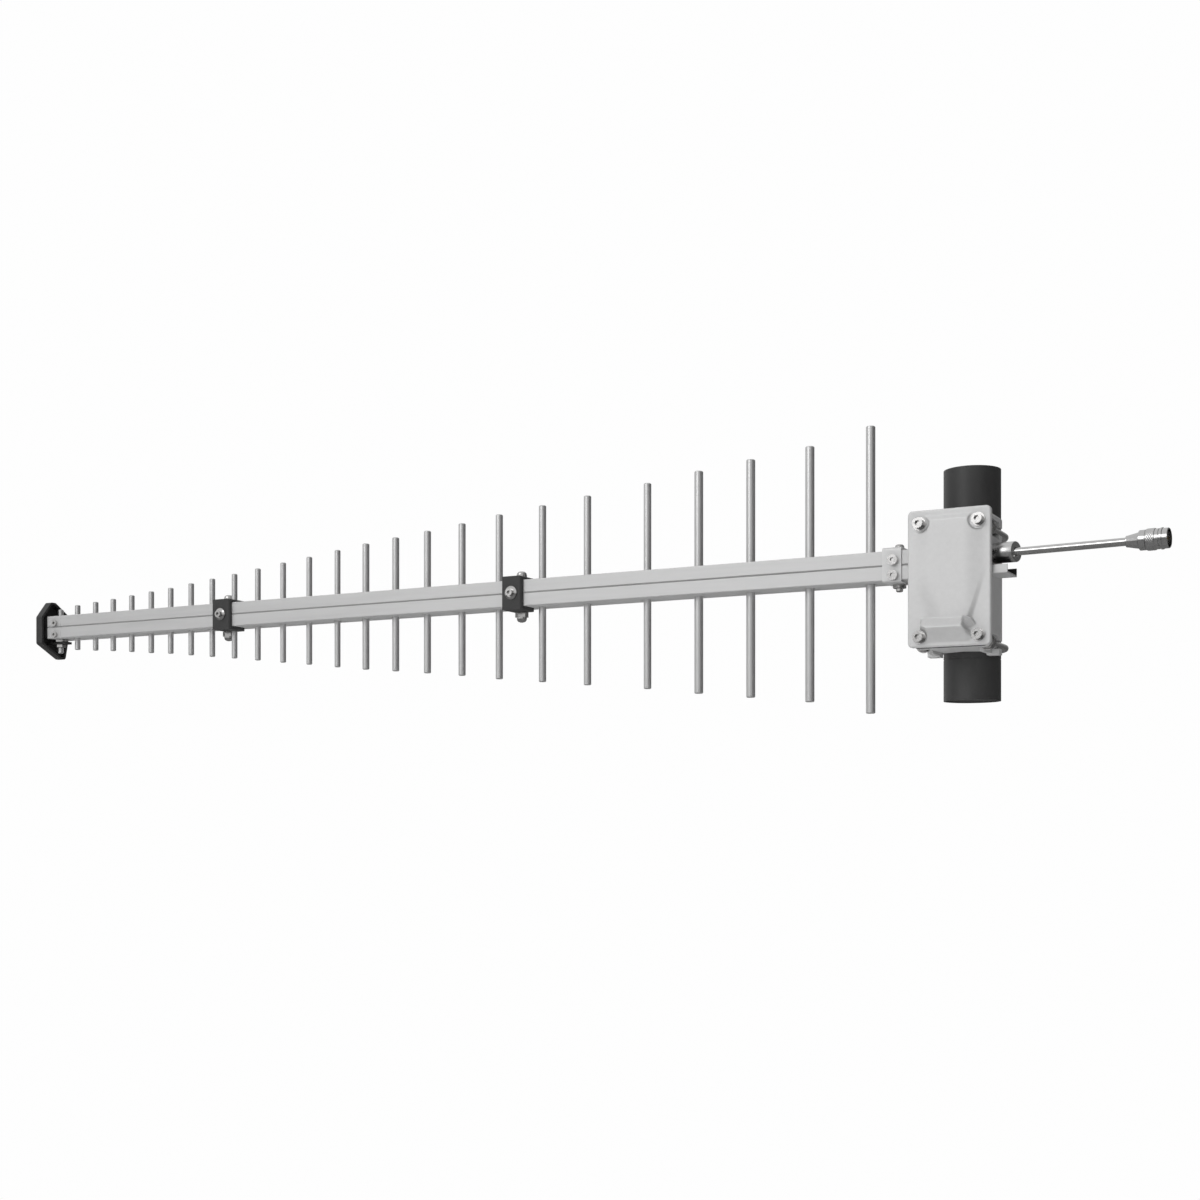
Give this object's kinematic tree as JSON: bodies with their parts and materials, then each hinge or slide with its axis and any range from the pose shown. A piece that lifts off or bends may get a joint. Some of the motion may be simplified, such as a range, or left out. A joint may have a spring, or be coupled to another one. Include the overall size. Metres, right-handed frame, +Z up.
{
  "type": "log-periodic antenna",
  "caption": "Directional log-periodic antenna with vertical rods on a two-rail boom, cast mast clamp with relief cover, mast stub and bent feed tube with coaxial plug.",
  "frame": {"origin": "centre of the lower end of the mast stub", "axes": "+Z up along the mast, -X along the boom toward the nose, -Y toward the side with the relief cover"},
  "size_m": [1.216, 0.1123, 0.245],
  "materials": {
    "boom_aluminium": "fine brushed satin",
    "rod_aluminium": "satin drawn rod",
    "cast_aluminium": "fine matte cast",
    "bright_steel": "semi gloss fastener steel",
    "polished_metal": "polished",
    "black_clamp": "matte black",
    "black_plastic": "fine grained matte",
    "black_mast": "satin black coat",
    "dark_seal": "matte",
    "white_insulator": "smooth",
    "contact_brass": "plated"
  },
  "bodies": {
    "antenna": {"upper_rail": "boom_aluminium", "lower_rail": "boom_aluminium", "rail_separator": "dark_seal", "rail_plugs": "boom_aluminium", "front_clamp": "black_clamp", "rear_clamp": "black_clamp", "clamp_bolts": "bright_steel", "clamp_nuts": "bright_steel", "clamp_screws": "bright_steel", "clamp_washers": "bright_steel", "nose_cap": "black_plastic", "nose_nut": "bright_steel", "bracket_screws": "bright_steel", "rear_bracket": "cast_aluminium", "housing_body": "cast_aluminium", "cover_gasket": "dark_seal", "cover_plate": "cast_aluminium", "cover_bolts": "bright_steel", "cover_washers": "bright_steel", "u_bolts": "bright_steel", "u_bolt_nuts": "bright_steel", "mast_tube": "black_mast", "mast_cap_top": "black_plastic", "mast_cap_bottom": "black_plastic", "feed_gland": "polished_metal", "gland_screw": "bright_steel", "feed_tube": "polished_metal", "connector_ferrule": "polished_metal", "connector_body": "polished_metal", "retaining_ring": "bright_steel", "connector_insulator": "white_insulator", "centre_pin": "contact_brass", "feed_line": "dark_seal", "dipole_01": "rod_aluminium", "dipole_02": "rod_aluminium", "dipole_03": "rod_aluminium", "dipole_04": "rod_aluminium", "dipole_05": "rod_aluminium", "dipole_06": "rod_aluminium", "dipole_07": "rod_aluminium", "dipole_08": "rod_aluminium", "dipole_09": "rod_aluminium", "dipole_10": "rod_aluminium", "dipole_11": "rod_aluminium", "dipole_12": "rod_aluminium", "dipole_13": "rod_aluminium", "dipole_14": "rod_aluminium", "dipole_15": "rod_aluminium", "dipole_16": "rod_aluminium", "dipole_17": "rod_aluminium", "dipole_18": "rod_aluminium", "dipole_19": "rod_aluminium", "dipole_20": "rod_aluminium", "dipole_21": "rod_aluminium", "dipole_22": "rod_aluminium", "dipole_23": "rod_aluminium", "dipole_24": "rod_aluminium", "dipole_25": "rod_aluminium", "dipole_26": "rod_aluminium"},
    "nut": {"coupling_nut": "polished_metal"}
  },
  "joints": [
    {"name": "nut_spin", "type": "hinge", "parent": "antenna", "child": "nut", "pos_m": [0.16148, -0.06042, 0.1179], "axis": [0.995, -0.1002, 0], "continuous": true}
  ]
}
